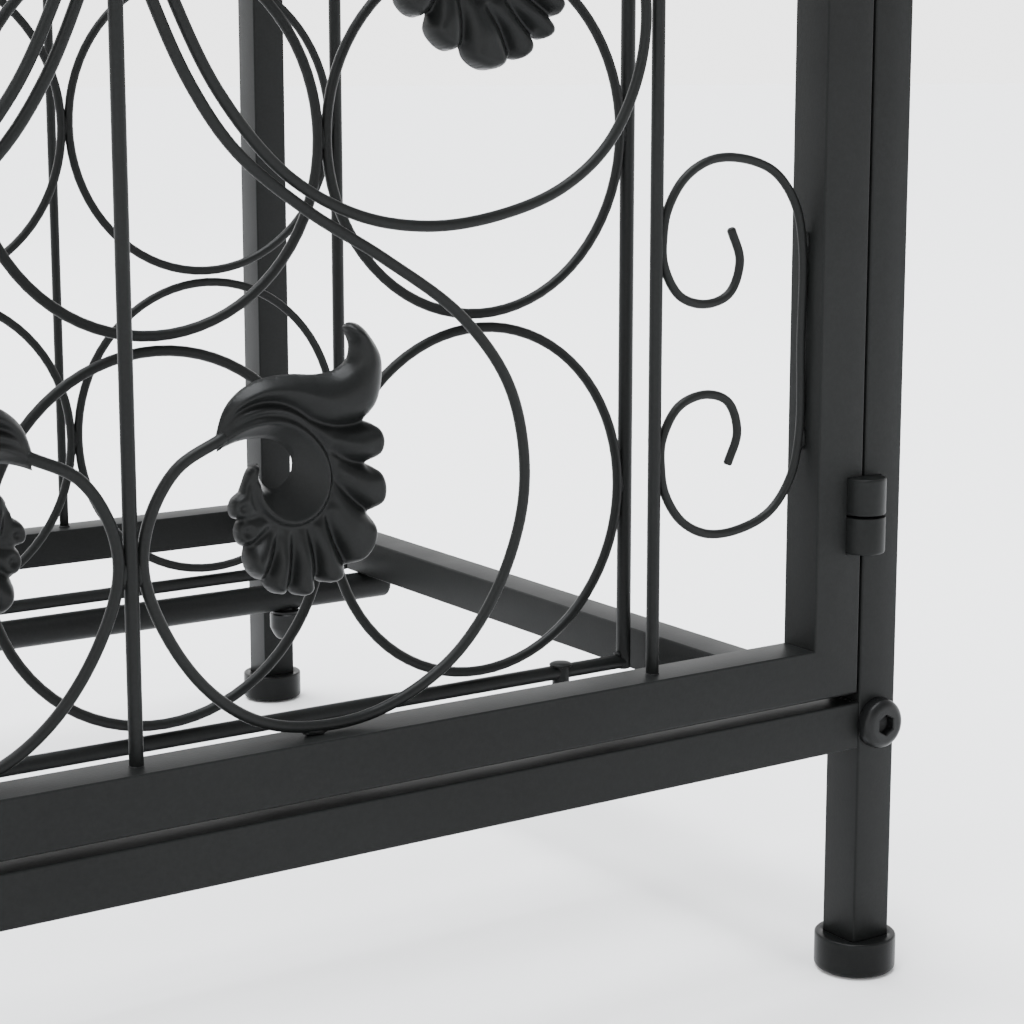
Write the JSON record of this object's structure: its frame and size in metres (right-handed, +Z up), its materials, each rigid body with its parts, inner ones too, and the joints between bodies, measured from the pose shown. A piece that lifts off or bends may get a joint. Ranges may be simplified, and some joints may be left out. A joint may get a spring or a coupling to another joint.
{
  "type": "wine rack",
  "caption": "Free-standing steel wine rack: bolted square-tube frame on capped feet, wire ring grids for bottles and an inset gate door with rods, scrolls and leaves.",
  "frame": {"origin": "centre of the rack's bounding box at floor level", "axes": "+Z up, +X to the right when facing the door, -Y towards the door (front), +Y towards the back"},
  "size_m": [0.4598, 0.3734, 0.7385],
  "materials": {
    "powder_coat": "satin black powder coat with fine grain",
    "foot_plastic": "matte moulded black plastic",
    "black_bolt_steel": "blackened steel, slightly shinier than the frame"
  },
  "bodies": {
    "frame": {"back_rod_1": "powder_coat", "back_rod_2": "powder_coat", "back_rod_3": "powder_coat", "back_rod_4": "powder_coat", "bolt_back_left_bottom": "black_bolt_steel", "bolt_back_left_top": "black_bolt_steel", "bolt_back_right_bottom": "black_bolt_steel", "bolt_back_right_top": "black_bolt_steel", "bolt_front_left_bottom": "black_bolt_steel", "bolt_front_left_top": "black_bolt_steel", "bolt_front_right_bottom": "black_bolt_steel", "bolt_front_right_top": "black_bolt_steel", "bottle_grid_back": "powder_coat", "bottle_grid_front": "powder_coat", "cross_tube_back_bottom": "powder_coat", "cross_tube_back_top": "powder_coat", "cross_tube_front_bottom": "powder_coat", "cross_tube_front_top": "powder_coat", "foot_back_left": "foot_plastic", "foot_back_right": "foot_plastic", "foot_front_left": "foot_plastic", "foot_front_right": "foot_plastic", "grid_nut_back_left": "black_bolt_steel", "grid_nut_back_right": "black_bolt_steel", "grid_nut_front_left": "black_bolt_steel", "grid_nut_front_right": "black_bolt_steel", "hinge_bottom_post_knuckle": "powder_coat", "hinge_top_post_knuckle": "powder_coat", "latch_screw": "black_bolt_steel", "post_back_left": "powder_coat", "post_back_right": "powder_coat", "post_front_left": "powder_coat", "post_front_right": "powder_coat", "rail_back_bottom": "powder_coat", "rail_back_top": "powder_coat", "rail_front_bottom": "powder_coat", "rail_front_top": "powder_coat", "rail_left_bottom": "powder_coat", "rail_left_top": "powder_coat", "rail_right_bottom": "powder_coat", "rail_right_top": "powder_coat"},
    "door": {"door_rail_bottom": "powder_coat", "door_rail_top": "powder_coat", "door_scrollwork": "powder_coat", "door_side_scroll_left": "powder_coat", "door_side_scroll_right": "powder_coat", "door_stile_left": "powder_coat", "door_stile_right": "powder_coat", "hinge_bottom_door_knuckle": "powder_coat", "hinge_top_door_knuckle": "powder_coat", "leaf_lower_bottom_left": "powder_coat", "leaf_lower_bottom_right": "powder_coat", "leaf_lower_top_left": "powder_coat", "leaf_lower_top_right": "powder_coat", "leaf_upper_bottom_left": "powder_coat", "leaf_upper_bottom_right": "powder_coat", "leaf_upper_top_left": "powder_coat", "leaf_upper_top_right": "powder_coat"},
    "latch": {"latch_button": "powder_coat"}
  },
  "joints": [
    {"name": "door_hinge", "type": "hinge", "parent": "frame", "child": "door", "pos_m": [0.21175, -0.1782, 0.402], "axis": [0, 0, 1], "range_deg": [0, 170]},
    {"name": "latch_turn", "type": "hinge", "parent": "frame", "child": "latch", "pos_m": [-0.2185, -0.1782, 0.402], "axis": [0, 1, 0], "range_deg": [0, 90]}
  ]
}
